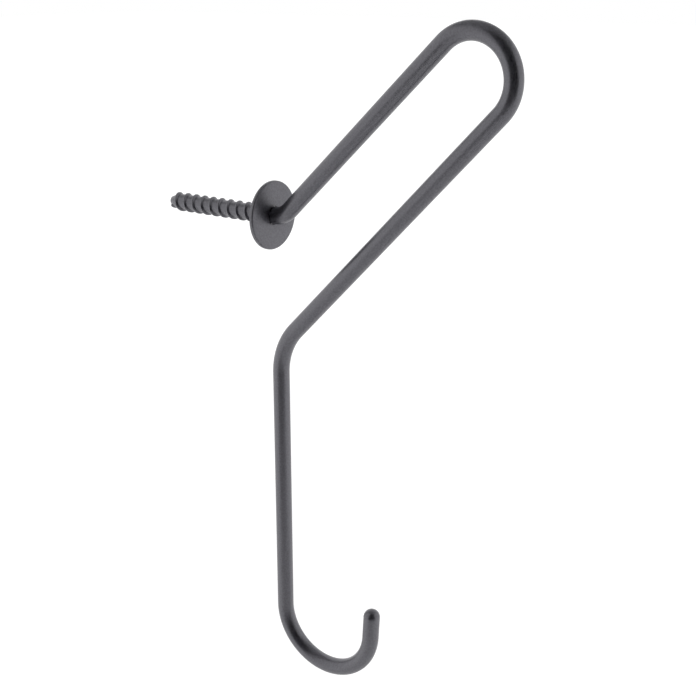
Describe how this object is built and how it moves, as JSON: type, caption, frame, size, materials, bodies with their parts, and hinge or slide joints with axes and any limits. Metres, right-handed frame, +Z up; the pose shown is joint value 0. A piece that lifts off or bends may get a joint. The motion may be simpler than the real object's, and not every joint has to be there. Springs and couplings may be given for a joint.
{
  "type": "screw-in coat hook",
  "caption": "Coat and hat hook bent from round steel wire, with a long slanted hat loop, a lower coat hook, a wood-screw end and a loose flat wall washer, in satin black.",
  "frame": {"origin": "on the screw's axis, at the washer's back face, which lies on the wall", "axes": "+Y along the screw into the wall, +Z up along the stem, the hook stands out towards -Y"},
  "size_m": [0.0198, 0.1167, 0.1993],
  "materials": {
    "black_coat_wire": "satin",
    "black_coat_washer": "satin"
  },
  "bodies": {
    "root": {"wire_hook": "black_coat_wire", "wall_washer": "black_coat_washer"}
  },
  "joints": []
}
